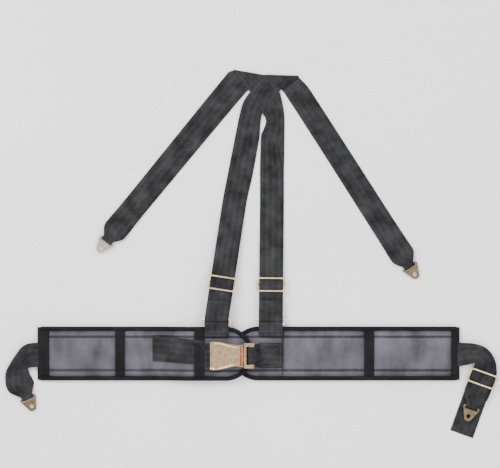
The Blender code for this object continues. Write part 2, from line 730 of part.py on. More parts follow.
def barrel_mesh():
    """A turned tube on the hinge pin, bored wider in the middle to hold the spring."""
    half, room = BARREL_HALF, SPRING_ROOM
    narrow, wide = PIN_RADIUS + GAP, SPRING_BORE
    profile = [
        (narrow, half), (BARREL_RADIUS, half), (BARREL_RADIUS, -half), (narrow, -half),
        (narrow, -room), (wide, -room), (wide, room), (narrow, room),
    ]
    bm = bmesh.new()
    verts = [bm.verts.new((x, 0.0, z)) for x, z in profile]
    for i, vert in enumerate(verts):
        bm.edges.new((vert, verts[(i + 1) % len(verts)]))
    mesh = bpy.data.meshes.new("barrel")
    bm.to_mesh(mesh)
    bm.free()
    shape = bpy.data.objects.new("barrel", mesh)
    helpers.objects.link(shape)
    add_modifier(
        shape, "SCREW", steps=28, render_steps=28, use_merge_vertices=True, merge_threshold=0.0001
    )
    shape.matrix_world = Matrix.Translation((PIN_X, BUCKLE_Y, PIN_Z)) @ Matrix.Rotation(math.pi / 2, 4, "X")
    return baked(shape)


def buckle_lever():
    """A tapered plate on the barrel, with a lip to lift it by and a claw over the tongue's window."""
    taper = [(-8.5, 18.6), (-22.0, 19.6), (-48.0, 26.0), (-62.0, 28.7), (-66.5, 28.7), (-68.4, 26.5)]
    blade = flat_mesh([mirrored_outline(taper)], *LEVER)
    lip = box_mesh(
        (LIP_X[0], BUCKLE_Y - LIP_HALF, LIP_BOTTOM),
        (LIP_X[1], BUCKLE_Y + LIP_HALF, LEVER[1] - 0.3),
    )
    claw = box_mesh(
        (CLAW_X[0], BUCKLE_Y - CLAW_HALF, TONGUE[1] + GAP),
        (CLAW_X[1], BUCKLE_Y + CLAW_HALF, LEVER[1] - 0.5),
    )
    mesh = combined(barrel_mesh(), [blade, lip, claw])
    add_part("buckle_lever", mesh, BUCKLE_GOLD, (PIN_X, BUCKLE_Y, PIN_Z))


def buckle_spring():
    turns, per_turn, radius, half = 5, 12, 2.35, 4.6
    count = turns * per_turn + 1
    curve = bpy.data.curves.new("spring", "CURVE")
    curve.dimensions = "3D"
    curve.bevel_depth = 0.35
    curve.bevel_resolution = 1
    curve.use_fill_caps = True
    spline = curve.splines.new("POLY")
    spline.points.add(count - 1)
    for i, point in enumerate(spline.points):
        angle = 2 * math.pi * i / per_turn
        y = -half + 2 * half * i / (count - 1)
        point.co = (radius * math.cos(angle), y, radius * math.sin(angle), 1.0)
    shape = bpy.data.objects.new("spring", curve)
    shape.location = (PIN_X, BUCKLE_Y, PIN_Z)
    helpers.objects.link(shape)
    mesh = baked(shape)
    bpy.data.curves.remove(curve)
    add_part("buckle_spring", mesh, SPRING_STEEL)


def buckle_tongue():
    """A blade with a latch window, a wide yoke and a slot for the webbing."""
    outline = mirrored_outline([(19.0, 24.9), (-1.0, 24.9), (-1.0, 14.0), (-26.0, 14.0), (-30.0, 10.0)])
    window = rectangle(-22.0, -13.0, BUCKLE_Y - 8.0, BUCKLE_Y + 8.0)
    slot = rectangle(3.5, 9.0, BUCKLE_Y - 18.2, BUCKLE_Y + 18.2)
    part = add_part("buckle_tongue", flat_mesh([outline, window, slot], *TONGUE), BUCKLE_GOLD)
    add_modifier(part, "BEVEL", width=0.35 * MM, segments=2, limit_method="ANGLE")


def tongue_webbing():
    """Round the tongue's outer bar and down onto the right pad, where both layers are sewn in a box."""
    narrow, wide = 17.7, 24.9
    bar_z = sum(TONGUE) / 2
    reach = (TONGUE[1] - TONGUE[0]) / 2 + GAP + WEB / 2
    pad_layer = TAIL[0] + WEB / 2
    ends = [(9.0, BUCKLE_Y + narrow), (9.0, BUCKLE_Y - narrow)]

    def row(x, half, z):
        return level_row((x, BUCKLE_Y + half), (x, BUCKLE_Y - half), z)

    rows = [row(74.2, wide, pad_layer), row(32.0, wide, pad_layer), row(15.0, narrow, bar_z - reach)]
    rows += folded_rows(ends[0], ends[1], bar_z - reach, bar_z + reach, (-1.0, 0.0), 6)
    rows += [
        row(19.6, narrow, bar_z + reach),
        row(35.0, wide, pad_layer + LAYER_STEP + FOLD_SLACK),
        row(74.2, wide, pad_layer + LAYER_STEP),
    ]
    add_strap("tongue_webbing", rows)


def add_buckle():
    buckle_body()
    buckle_lever()
    pin = rod_mesh((PIN_X, BUCKLE_Y, PIN_Z), PIN_RADIUS, PIN_LENGTH)
    add_part("buckle_hinge_pin", pin, SPRING_STEEL)
    buckle_spring()
    buckle_tongue()
    tongue_webbing()


rear_strap_left()
rear_strap_right()
shoulder_straps()
add_shoulder_adjusters()
add_rings()
add_brackets()
lap_end_left()
lap_end_right()
add_pads()
lap_webbing()
add_buckle()
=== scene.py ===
import math
from collections import namedtuple

import bmesh
import bpy
from mathutils import Matrix, Vector, noise


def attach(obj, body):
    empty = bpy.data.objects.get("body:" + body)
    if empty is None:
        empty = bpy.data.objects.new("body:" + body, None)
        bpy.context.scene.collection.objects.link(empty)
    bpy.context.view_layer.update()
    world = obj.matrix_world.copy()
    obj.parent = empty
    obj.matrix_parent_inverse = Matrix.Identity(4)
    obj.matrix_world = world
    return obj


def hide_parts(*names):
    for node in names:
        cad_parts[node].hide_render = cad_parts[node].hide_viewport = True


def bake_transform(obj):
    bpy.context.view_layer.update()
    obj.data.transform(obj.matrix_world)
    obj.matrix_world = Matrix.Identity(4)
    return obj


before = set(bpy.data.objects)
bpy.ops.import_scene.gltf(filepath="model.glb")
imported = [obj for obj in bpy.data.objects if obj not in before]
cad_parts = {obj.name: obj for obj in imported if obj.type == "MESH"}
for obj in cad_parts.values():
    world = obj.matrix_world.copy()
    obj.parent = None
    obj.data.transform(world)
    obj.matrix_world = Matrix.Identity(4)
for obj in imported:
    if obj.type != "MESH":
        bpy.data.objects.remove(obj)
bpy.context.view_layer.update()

# Lengths are in millimetres, and places are in the layout's own axes. ORIGIN is where the frame's
# origin lies in them, and place() turns a finished mesh into the frame's metres.
MM = 0.001
ORIGIN = Vector((15.14, 14.16, 0.0))
UP = Vector((0.0, 0.0, 1.0))
LEFT = "left_half"
RIGHT = "right_half"

# Webbing: its thickness, half its width, and the height of its middle in each stack it lies in.
WEB = 1.5
HALF_WEB = 24.0
FLOOR_LAYER = 0.76
SECOND_LAYER = 2.56
LEFT_FRONT = 2.76
RIGHT_FRONT = 4.56
LAP_HIGH = 9.06

# How far a layer lies above the one it is sewn to, and where the two come together.
SEWN_STEP = 1.8
MEETING_STEP = 2.2

# The bar each rear strap turns round, the way it runs from there, and how far its end is turned back.
LEFT_REAR = ((-274.7, 41.0), (0.632, 0.775))
RIGHT_REAR = ((329.6, -10.2), (-0.541, 0.841))
REAR_RETURN = 74.0

# Each shoulder strap's straight run: its X at the top, its X at the ring, and its height at the ring.
LEFT_RUN = (-19.2, -55.5, 21.75)
RIGHT_RUN = (54.9, 52.4, 11.25)
RUN_TOP_Y = 122.0
RING_Y = -115.0
RUN_LENGTH = 187.0
SLIDE_AT = 169.0
RETURN_SHARE = 0.845
RING_FOLD = 3.05
RING_SLACK = 1.7

# The sewn tab at each ring: the bar it turns round, where its layers meet, and its end.
TAB_BAR_Y = -126.0
TAB_MEET_Y = -138.0
TAB_END_Y = -150.5

# The lap straps: their brackets' bars, the way they run, and the right one's straight part.
LEFT_LAP = ((-433.3, -272.7), (-0.423, 0.906))
RIGHT_LAP_BAR = (453.7, -291.8)
RIGHT_LAP_START = (469.0, -249.4)
RIGHT_LAP_ALONG = (0.34, 0.9404)
LAP_RETURN = 36.0
LAP_SLIDE_AT = 16.0

# The buckle's centre line, and where its hinge pin's axis crosses it.
BUCKLE_Y = -187.9
PIN = Vector((-5.2, BUCKLE_Y, 32.2))


def link(obj):
    bpy.context.scene.collection.objects.link(obj)
    return obj


def place(mesh):
    """Turns layout millimetres into the frame's metres."""
    mesh.transform(Matrix.Scale(MM, 4) @ Matrix.Translation(-ORIGIN))
    return mesh


def eased(t):
    """Rises from 0 at t = 0 to 1 at t = 1, level at both ends."""
    return t * t * (3 - 2 * t)


def smoothstep(t):
    """The same rise, held at 0 before it and at 1 after it."""
    return eased(min(max(t, 0.0), 1.0))


def smooth_mesh(bm, name, sharp=None):
    """A bmesh as a smooth-shaded mesh, with edges over the sharp angle left crisp."""
    mesh = bpy.data.meshes.new(name)
    bm.to_mesh(mesh)
    bm.free()
    mesh.shade_smooth()
    if sharp:
        mesh.set_sharp_from_angle(angle=math.radians(sharp))
    return mesh


def close_sheets(bm, top, under):
    """Faces on two grids of points and round their rims, which makes one closed form."""
    last = len(top[0]) - 1
    for i in range(len(top) - 1):
        for k in range(last):
            bm.faces.new((top[i][k], top[i + 1][k], top[i + 1][k + 1], top[i][k + 1]))
            bm.faces.new((under[i][k], under[i][k + 1], under[i + 1][k + 1], under[i + 1][k]))
        for k in (0, last):
            bm.faces.new((top[i][k], under[i][k], under[i + 1][k], top[i + 1][k]))
    for i in (0, -1):
        for k in range(last):
            bm.faces.new((top[i][k], top[i][k + 1], under[i][k + 1], under[i][k]))
    bmesh.ops.recalc_face_normals(bm, faces=bm.faces)


def close_rings(bm, rings):
    """Faces from each ring of points to the next, and from the last to the first."""
    faces = []
    for before, after in zip(rings, rings[1:] + rings[:1]):
        for k in range(len(before)):
            following = (k + 1) % len(before)
            faces.append(bm.faces.new((before[k], before[following], after[following], after[k])))
    bmesh.ops.recalc_face_normals(bm, faces=bm.faces)
    return faces


# Materials.


class Look:
    """A Principled material and short ways to add nodes to it."""

    def __init__(self, name, colour, roughness, metallic=0.0):
        self.material = bpy.data.materials.new(name)
        self.material.use_nodes = True
        self.tree = self.material.node_tree
        self.shader = self.tree.nodes["Principled BSDF"]
        self.shader.inputs["Base Color"].default_value = (*colour, 1.0)
        self.shader.inputs["Roughness"].default_value = roughness
        self.shader.inputs["Metallic"].default_value = metallic

    def node(self, kind, settings=None, **inputs):
        """Adds a node. An input goes by its socket's name, or by i and its socket's number."""
        made = self.tree.nodes.new(kind)
        for key, value in (settings or {}).items():
            setattr(made, key, value)
        for key, value in inputs.items():
            numbered = key[0] == "i" and key[1:].isdigit()
            socket = made.inputs[int(key[1:]) if numbered else key]
            if isinstance(value, bpy.types.NodeSocket):
                self.tree.links.new(value, socket)
            else:
                socket.default_value = value
        return made

    def math(self, operation, first, second=0.0):
        return self.node("ShaderNodeMath", {"operation": operation}, i0=first, i1=second).outputs[0]

    def object_noise(self, scale, detail=3.0, stretch=(1.0, 1.0, 1.0)):
        where = self.node("ShaderNodeTexCoord").outputs["Object"]
        mapped = self.node("ShaderNodeMapping", None, Vector=where, Scale=stretch).outputs[0]
        made = self.node("ShaderNodeTexNoise", None, Vector=mapped, Scale=scale, Detail=detail)
        return made.outputs["Fac"]

    def ramp(self, value, low, high, start=0.3, end=0.7):
        made = self.node("ShaderNodeValToRGB", None, Fac=value)
        made.color_ramp.elements[0].position = start
        made.color_ramp.elements[1].position = end
        made.color_ramp.elements[0].color = (*low, 1.0)
        made.color_ramp.elements[1].color = (*high, 1.0)
        return made.outputs["Color"]

    def spread(self, value, low, high):
        return self.node(
            "ShaderNodeMapRange", None, Value=value, **{"To Min": low, "To Max": high}
        ).outputs[0]

    def use(self, socket, value):
        self.tree.links.new(value, self.shader.inputs[socket])

    def bump(self, height, strength, distance):
        made = self.node("ShaderNodeBump", None, Height=height, Strength=strength, Distance=distance)
        self.use("Normal", made.outputs["Normal"])


def webbing_look(name, dark, light, pitch=0.0016, chevron=0.006):
    """Ribbed seat-belt weave: chevrons along the strap from UVs in metres, a sheen, and woven bands."""
    look = Look(name, dark, 0.5)
    uv = look.node("ShaderNodeUVMap").outputs["UV"]
    parts = look.node("ShaderNodeSeparateXYZ", None, Vector=uv)
    across, along = parts.outputs["X"], parts.outputs["Y"]
    zigzag = look.math("PINGPONG", across, chevron)
    diagonal = look.math("ADD", along, zigzag)
    rib = look.math("SINE", look.math("MULTIPLY", diagonal, 2 * math.pi / pitch))
    cord = look.math("SINE", look.math("MULTIPLY", across, 2 * math.pi / (pitch * 0.9)))
    weave = look.math("ADD", look.math("MULTIPLY", rib, 0.35), look.math("MULTIPLY", cord, 0.3))
    band = look.math("SINE", look.math("MULTIPLY", across, 2 * math.pi / 0.012))
    cloud = look.object_noise(38.0, 4.0)
    tone = look.math("ADD", look.math("MULTIPLY", band, 0.04), cloud)
    tone = look.math("ADD", tone, look.math("MULTIPLY", weave, 0.16))
    look.use("Base Color", look.ramp(tone, dark, light, 0.3, 0.8))
    look.use("Roughness", look.spread(cloud, 0.45, 0.65))
    look.shader.inputs["Specular IOR Level"].default_value = 0.12
    look.shader.inputs["Sheen Weight"].default_value = 0.01
    look.shader.inputs["Sheen Roughness"].default_value = 0.4
    look.bump(weave, 0.5, 0.0005)
    return look.material


def nylon_look(name, dark, light):
    """Coated plain-weave nylon: a fine crossed weave, cloudy tone, long soft creases whose hollows take
    painted shade, and painted shade in the sewn folds.
    """
    pitch = 0.0011
    look = Look(name, dark, 0.5)
    where = look.node("ShaderNodeTexCoord").outputs["Object"]
    parts = look.node("ShaderNodeSeparateXYZ", None, Vector=where)
    waves = []
    for axis in ("X", "Y"):
        waves.append(look.math("SINE", look.math("MULTIPLY", parts.outputs[axis], 2 * math.pi / pitch)))
    weave = look.math("MULTIPLY", waves[0], waves[1])
    cloud = look.object_noise(22.0, 5.0)
    crease_and_shade = look.object_noise(13.0, 2.0, (2.6, 0.7, 1.0))
    # Painted shade: the crease noise also darkens the colour in the creases' hollows, not only the bump.
    tone = look.math("ADD", look.math("MULTIPLY", cloud, 0.6), look.math("MULTIPLY", crease_and_shade, 0.4))
    tone = look.math("ADD", tone, look.math("MULTIPLY", weave, 0.07))
    # Painted shade: the fold attribute darkens the cloth near the edge, along the seams and beside the
    # tapes.
    folded = look.node("ShaderNodeAttribute", {"attribute_name": "fold"}).outputs["Fac"]
    tone = look.math("SUBTRACT", tone, look.math("MULTIPLY", folded, 0.42))
    look.use("Base Color", look.ramp(tone, dark, light, 0.2, 0.72))
    look.use("Roughness", look.spread(cloud, 0.42, 0.6))
    look.shader.inputs["Specular IOR Level"].default_value = 0.2
    look.shader.inputs["Sheen Weight"].default_value = 0.03
    height = look.math("ADD", look.math("MULTIPLY", weave, 0.25), look.math("MULTIPLY", crease_and_shade, 2.5))
    look.bump(height, 0.35, 0.0012)
    return look.material


def metal_look(name, dark, light, rough=(0.2, 0.42), stretch=(1.0, 1.0, 1.0)):
    """Plated steel: cloudy plating, fine scratches in one direction, and duller worn patches."""
    look = Look(name, light, 0.3, 1.0)
    cloud = look.object_noise(160.0, 4.0)
    scratch = look.object_noise(900.0, 2.0, stretch)
    tone = look.math("ADD", look.math("MULTIPLY", cloud, 0.7), look.math("MULTIPLY", scratch, 0.3))
    look.use("Base Color", look.ramp(tone, dark, light, 0.15, 0.62))
    look.use("Roughness", look.spread(tone, *rough))
    look.bump(scratch, 0.12, 0.0002)
    return look.material


def thread_look(name, dark, light):
    """Twisted polyester thread: a fine mottled twist and no gloss."""
    look = Look(name, light, 0.7)
    where = look.node("ShaderNodeTexCoord").outputs["Object"]
    twist = look.node("ShaderNodeTexNoise", None, Vector=where, Scale=2500.0).outputs["Fac"]
    look.use("Base Color", look.ramp(twist, dark, light, 0.35, 0.65))
    look.bump(twist, 0.4, 0.0002)
    return look.material


WEBBING = webbing_look("strap_weave", (0.005, 0.005, 0.0055), (0.036, 0.036, 0.04))
TAPE = webbing_look("edge_tape_weave", (0.002, 0.002, 0.0025), (0.01, 0.01, 0.012), 0.0011, 0.003)
NYLON = nylon_look("pad_nylon", (0.008, 0.007, 0.010), (0.125, 0.118, 0.145))
PALE = metal_look("pale_zinc", (0.24, 0.21, 0.16), (0.55, 0.5, 0.4))
YELLOW = metal_look("yellow_zinc", (0.07, 0.045, 0.02), (0.26, 0.19, 0.11))
GOLD = metal_look("gold_wire", (0.3, 0.22, 0.1), (0.78, 0.63, 0.38))
CHAMPAGNE = metal_look("champagne_plate", (0.3, 0.19, 0.1), (0.6, 0.43, 0.26), (0.2, 0.36), (0.05, 1.0, 1.0))
# Painted reflection: the hinge barrel's copper-brown tone stands in for brownish surroundings mirrored in
# its metal.
BARREL_REFLECTION = metal_look("barrel_painted_reflection", (0.2, 0.06, 0.025), (0.52, 0.2, 0.1))
STEEL = metal_look("bright_steel", (0.3, 0.3, 0.3), (0.75, 0.75, 0.76))
THREAD = thread_look("black_thread", (0.015, 0.015, 0.017), (0.07, 0.07, 0.075))
GREY_THREAD = thread_look("grey_thread", (0.03, 0.03, 0.035), (0.12, 0.115, 0.13))


def finish_piece(obj, look, body, replaced=()):
    obj.data.materials.clear()
    obj.data.materials.append(look)
    if body:
        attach(obj, body)
    if replaced:
        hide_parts(*replaced)
    return obj


# Webbing. A strap is a list of rows, each the two edge points across it in layout millimetres.


def row(first, second, z):
    """The row between two edge points, level at one height."""
    return (Vector((*first, z)), Vector((*second, z)))


def station(start, along, distance, half, z):
    """The row at a distance along a straight strap, square to the way it runs."""
    across = Vector((-along[1], along[0]))
    middle = Vector(start) + Vector(along) * distance
    return row(tuple(middle + across * half), tuple(middle - across * half), z)


def folded(first, second, low, high, outward, bulge=1.0):
    """Rows round a fold from the low layer to the high one. A bulge over 1 makes the fold slacker."""
    steps = 10
    radius = (high - low) / 2
    rows = []
    for i in range(steps + 1):
        angle = math.pi * i / steps
        shift = Vector((*outward, 0.0)) * radius * bulge * math.sin(angle)
        z = (high + low) / 2 - radius * math.cos(angle)
        rows.append(tuple(Vector((*point, z)) + shift for point in (first, second)))
    return rows


def edge_point(before, start, end, after, t):
    """A point on a curve from start to end. Each end's pull is no longer than its shorter neighbour."""
    reach = (end - start).xy.length
    run = (end - start).xy.normalized()
    leave = (run + (start - before).xy.normalized()).normalized()
    arrive = (run + (after - end).xy.normalized()).normalized()
    leave = leave * min(reach, (start - before).xy.length or reach)
    arrive = arrive * min(reach, (after - end).xy.length or reach)
    flat = start.xy * (2 * t**3 - 3 * t**2 + 1) + leave * (t**3 - 2 * t**2 + t)
    flat += end.xy * (3 * t**2 - 2 * t**3) + arrive * (t**3 - t**2)
    return Vector((flat.x, flat.y, start.z + (end.z - start.z) * eased(t)))


def smooth_rows(rows, step):
    """Adds rows between those given, so that bends are round and no run leaves its layers."""
    result = []
    for i in range(len(rows) - 1):
        window = (rows[max(i - 1, 0)], rows[i], rows[i + 1], rows[min(i + 2, len(rows) - 1)])
        longest = max((window[2][side] - window[1][side]).length for side in (0, 1))
        count = max(1, round(longest / step))
        for k in range(count):
            result.append(tuple(edge_point(*(line[side] for line in window), k / count) for side in (0, 1)))
    result.append(rows[-1])
    return result


# Faces across a strip of webbing.
ACROSS = 8


def strap_mesh(name, rows, step, ripple, seed):
    """The middle surface of a webbing strip, with a slight ripple and UVs in metres."""
    lines = smooth_rows(rows, step)
    bm = bmesh.new()
    uv_layer = bm.loops.layers.uv.new("UVMap")
    spots = {}
    length = 0.0
    grid = []
    for n, line in enumerate(lines):
        if n:
            length += ((line[0] + line[1]) / 2 - (lines[n - 1][0] + lines[n - 1][1]) / 2).length
        width = (line[1] - line[0]).length
        verts = []
        for k in range(ACROSS + 1):
            t = k / ACROSS
            wave = noise.noise(Vector((length * 0.018, t * 1.3, seed)))
            lift = UP * (max(wave, 0.0) * ripple * math.sin(math.pi * t))
            vert = bm.verts.new(line[0].lerp(line[1], t) + lift)
            spots[vert] = (t * width * MM, length * MM)
            verts.append(vert)
        grid.append(verts)
    for before, after in zip(grid, grid[1:]):
        for k in range(ACROSS):
            face = bm.faces.new((before[k], before[k + 1], after[k + 1], after[k]))
            for loop in face.loops:
                loop[uv_layer].uv = spots[loop.vert]
    return place(smooth_mesh(bm, name))


def strap(name, rows, body, replaced, look=WEBBING, step=5.0, ripple=0.25):
    """A strip of webbing with thickness and rolled selvedges. Its name's length seeds its ripple."""
    obj = link(bpy.data.objects.new(name, strap_mesh(name, rows, step, ripple, len(name) * 1.7)))
    solid = obj.modifiers.new("thickness", "SOLIDIFY")
    solid.thickness = WEB * MM
    solid.offset = 0.0
    edge = obj.modifiers.new("selvedge", "BEVEL")
    edge.width = 0.4 * MM
    edge.segments = 2
    edge.limit_method = "ANGLE"
    edge.angle_limit = math.radians(60)
    return finish_piece(obj, look, body, replaced)


def bracket_loop(bar, along, floor, back):
    """Webbing bunched round a bracket's bar: the end turned back below, the fold, and the top layer."""
    fold, bunched, neck, full = 3.25, 12.0, 5.0, 22.0
    top = floor + 2 * fold
    rows = [
        station(bar, along, back, HALF_WEB, floor),
        station(bar, along, full, HALF_WEB, floor),
        station(bar, along, neck, bunched, floor),
    ]
    first, second = station(bar, along, 0.0, bunched, floor)
    rows += folded(first.xy, second.xy, floor, top, (-along[0], -along[1]))
    rows += [station(bar, along, neck, bunched, top), station(bar, along, full, HALF_WEB, top - WEB)]
    return rows


def run_out(bar, along):
    """A rear strap over its turned-back end and down on to the floor."""
    return [
        station(bar, along, 44.0, HALF_WEB, SECOND_LAYER),
        station(bar, along, 78.0, HALF_WEB, SECOND_LAYER),
        station(bar, along, 94.0, HALF_WEB, FLOOR_LAYER),
    ]


def rear_and_shoulder_straps():
    """Each rear strap folds at the top and runs on without a break as the opposite shoulder strap."""
    rows = bracket_loop(*LEFT_REAR, FLOOR_LAYER, REAR_RETURN) + run_out(*LEFT_REAR)
    rows.append(row((-32.0, 377.6), (6.2, 340.8), FLOOR_LAYER))
    rows += folded((-22.0, 381.0), (42.0, 370.0), FLOOR_LAYER, LEFT_FRONT, (0.17, 0.985))
    rows += [
        row((11.0, 338.0), (61.0, 353.0), LEFT_FRONT),
        row((36.2, 296.0), (70.6, 337.8), LEFT_FRONT),
    ]
    strap("rear_strap_left_web", rows, LEFT, ["rear_strap_left"])
    rows = bracket_loop(*RIGHT_REAR, FLOOR_LAYER, REAR_RETURN) + run_out(*RIGHT_REAR)
    rows.append(row((75.0, 342.0), (127.6, 347.4), FLOOR_LAYER))
    rows += folded((41.0, 370.0), (108.0, 368.0), FLOOR_LAYER, RIGHT_FRONT, (0.03, 1.0))
    rows += [
        row((11.0, 338.0), (73.0, 342.0), RIGHT_FRONT),
        row((-3.0, 316.4), (36.2, 296.0), RIGHT_FRONT),
        row((-10.6, 288.8), (32.0, 276.0), 2.6),
        row((-15.2, 267.4), (30.2, 249.0), FLOOR_LAYER),
        row((-32.0, 182.0), (16.4, 172.0), FLOOR_LAYER),
    ]
    rows += lower_strap(*LEFT_RUN)
    replaced = ["rear_strap_right", "shoulder_strap_left", "adjuster_strap_left"]
    strap("shoulder_webbing_left", rows, LEFT, replaced)
    rows = [
        row((36.6, 295.5), (71.0, 337.3), LEFT_FRONT),
        row((43.0, 280.0), (78.2, 304.0), 1.6),
        row((38.4, 264.0), (80.2, 280.0), FLOOR_LAYER),
        row((33.2, 252.0), (79.6, 218.0), FLOOR_LAYER),
        row((31.0, 192.0), (79.0, 182.0), FLOOR_LAYER),
    ]
    rows += lower_strap(*RIGHT_RUN)
    right = strap("shoulder_webbing_right", rows, None, ["shoulder_strap_right", "adjuster_strap_right"])
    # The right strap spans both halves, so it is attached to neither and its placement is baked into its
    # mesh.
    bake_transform(right)


def lower_run(top_x, ring_x, layer):
    """The start, end and direction of a shoulder strap's straight run down to its ring."""
    start, end = Vector((top_x, RUN_TOP_Y, FLOOR_LAYER)), Vector((ring_x, RING_Y, layer))
    return start, end, (end - start).normalized()


def lower_strap(top_x, ring_x, layer):
    """Down through the slide, round the ring's bar and back up to the slide."""
    start, end, along = lower_run(top_x, ring_x, layer)
    square = along.cross(UP).normalized() * HALF_WEB
    rows = [(point + square, point - square) for point in (start, start + along * RUN_LENGTH)]
    first, second = (ring_x - HALF_WEB, RING_Y), (ring_x + HALF_WEB, RING_Y)
    rows += folded(first, second, layer, layer + 2 * RING_FOLD, (0.0, -1.0), bulge=RING_SLACK)
    back = start.lerp(end, RETURN_SHARE) + UP * (2 * RING_FOLD)
    side = Vector((HALF_WEB, 0.0, 0.0))
    return rows + [(back - side, back + side)]


def wire(name, points, radius, closed):
    """A round wire along a line of points."""
    curve = bpy.data.curves.new(name, "CURVE")
    curve.dimensions = "3D"
    curve.bevel_depth = radius * MM
    curve.bevel_resolution = 5
    curve.use_fill_caps = True
    spline = curve.splines.new("POLY")
    spline.points.add(len(points) - 1)
    for point, place_at in zip(spline.points, points):
        point.co = (*((place_at - ORIGIN) * MM), 1.0)
    spline.use_cyclic_u = closed
    return link(bpy.data.objects.new(name, curve))


def slide(node, middle, direction, body):
    """A wire frame with rounded ends over the strap, and a middle bar that dips under it."""
    along = -direction
    across = along.cross(UP).normalized()
    up = across.cross(along)
    radius, half, reach, corner, high = 2.0, 27.4, 12.8, 6.5, 3.05
    bend_from, corner_steps, bar_steps = 26.0, 8, 40

    def spot(x, y, z):
        return middle + across * x + along * y + up * z

    points = []
    for sign_x, sign_y, start in ((1, 1, 0), (-1, 1, 90), (-1, -1, 180), (1, -1, 270)):
        for i in range(corner_steps + 1):
            angle = math.radians(start + 90 * i / corner_steps)
            x = sign_x * (half - corner) + corner * math.cos(angle)
            y = sign_y * (reach - corner) + corner * math.sin(angle)
            points.append(spot(x, y, high))
    frame_wire = wire(f"{node}_frame", points, radius, True)
    finish_piece(frame_wire, GOLD, body, [node])
    points = []
    for i in range(bar_steps + 1):
        x = -half + 2 * half * i / bar_steps
        rise = smoothstep((abs(x) - bend_from) / (half - bend_from))
        points.append(spot(x, 0.0, -high + 2 * high * rise))
    bar = wire(f"{node}_bar", points, radius * 0.9, False)
    finish_piece(bar, GOLD, body)


def slides():
    for side, run in (("left", LEFT_RUN), ("right", RIGHT_RUN)):
        start, _, along = lower_run(*run)
        slide(f"shoulder_slide_{side}", start + along * SLIDE_AT, along, f"{side}_shoulder_adjuster")
    along = Vector((*RIGHT_LAP_ALONG, 0.0))
    middle = Vector((*RIGHT_LAP_START, LAP_HIGH)) + along * LAP_SLIDE_AT
    slide("lap_slide_right", middle, -along, "right_lap_adjuster")


def ring_tab(side, run, body):
    """Webbing sewn to itself round the ring's lower bar."""
    _, ring_x, layer = run
    low, high = ring_x - HALF_WEB, ring_x + HALF_WEB
    rows = [row((low, TAB_END_Y), (high, TAB_END_Y), layer)]
    top = layer + 2 * RING_FOLD
    rows += folded((low, TAB_BAR_Y), (high, TAB_BAR_Y), layer, top, (0.0, 1.0), bulge=RING_SLACK)
    rows.append(row((low, TAB_MEET_Y), (high, TAB_MEET_Y), layer + MEETING_STEP))
    rows.append(row((low, TAB_END_Y), (high, TAB_END_Y), layer + SEWN_STEP))
    strap(f"ring_tab_web_{side}", rows, body, [f"ring_tab_{side}"], step=3.0, ripple=0.0)


def lap_ends():
    """The webbing from each pad's end to its bracket. The right one also has a free tail."""
    rows = bracket_loop(*LEFT_LAP, FLOOR_LAYER, LAP_RETURN)[:-1]
    rows += [
        row((-470.0, -262.0), (-422.0, -252.0), 6.6),
        row((-477.0, -247.0), (-424.0, -240.0), 6.2),
        row((-477.0, -223.0), (-432.0, -215.0), 6.4),
        row((-469.0, -206.0), (-430.5, -213.4), 7.2),
        row((-456.0, -186.0), (-428.0, -212.8), 8.2),
        row((-444.0, -171.0), (-424.5, -212.4), 9.4),
        row((-431.0, -164.4), (-420.5, -212.0), 10.6),
        row((-409.0, -162.5), (-409.0, -210.5), 11.25),
    ]
    strap("lap_end_web_left", rows, LEFT, ["lap_end_left"])
    start, along = RIGHT_LAP_START, RIGHT_LAP_ALONG
    rows = [station(start, along, -103.0, HALF_WEB, FLOOR_LAYER)]
    first, second = station(start, along, 5.0, HALF_WEB, FLOOR_LAYER)
    rows += folded(first.xy, second.xy, FLOOR_LAYER, SECOND_LAYER, along)
    rows += bracket_loop(RIGHT_LAP_BAR, along, SECOND_LAYER, LAP_RETURN)[1:-1]
    rows += [
        station(start, along, -23.0, HALF_WEB, LAP_HIGH),
        station(start, along, 35.0, HALF_WEB, LAP_HIGH),
        row((460.0, -203.4), (499.0, -195.0), 9.4),
        row((457.0, -203.5), (482.0, -173.0), 9.9),
        row((448.0, -206.5), (458.0, -164.5), 10.6),
        row((425.0, -210.5), (425.0, -162.5), 11.25),
    ]
    strap("lap_end_web_right", rows, RIGHT, ["lap_end_right"])


# Pads.

# Both pads' centre line and half width, then what shapes their faces. A valley is a width and a depth.
PAD_Y = -184.7
PAD_RADIUS = 54.1
SEAM = 33.5
RAMP = (-172.0, -104.0)
LIFT = 10.5
COVER_INSET = 1.4
FACE_AT_EDGE = 4.2
FACE_RISE = 6.0
CROWN = 2.4
WRINKLE = 1.5
FACE_LIMIT = 13.0
UNDER_OTHER_PAD = 9.6
SEAM_VALLEY = (2.6, 2.6)
TAPE_VALLEY = 13.0
TAPE_VALLEY_DEPTH = 2.3

# Where the black tapes and the one bare seam cross the pads.
TAPE_X = {
    "left_outer": -399.8,
    "left_middle": -248.1,
    "left_inner": -90.0,
    "right_inner": 248.7,
    "right_outer": 420.0,
}
CROSS_SEAM = (76.2, 2.6)

# A pad's square end, the centre of its round end, each crossing's place and the width of its valley,
# and whether the pad lies on the other one.
Pad = namedtuple("Pad", "side body square centre crossings lifted")


def valleys(*names):
    return tuple((TAPE_X[name], TAPE_VALLEY) for name in names)


LEFT_PAD = Pad("left", LEFT, -413.6, -37.1, valleys("left_outer", "left_middle", "left_inner"), True)
RIGHT_PAD = Pad("right", RIGHT, 429.8, 27.1, (CROSS_SEAM, *valleys("right_inner", "right_outer")), False)


def inward(pad):
    """The way along X from the pad's square end to its round one."""
    return 1 if pad.centre > pad.square else -1


def raised(x, pad):
    """How far the pad is lifted at this place by the one under it."""
    if not pad.lifted:
        return 0.0
    return LIFT * smoothstep((x - RAMP[0]) / (RAMP[1] - RAMP[0]))


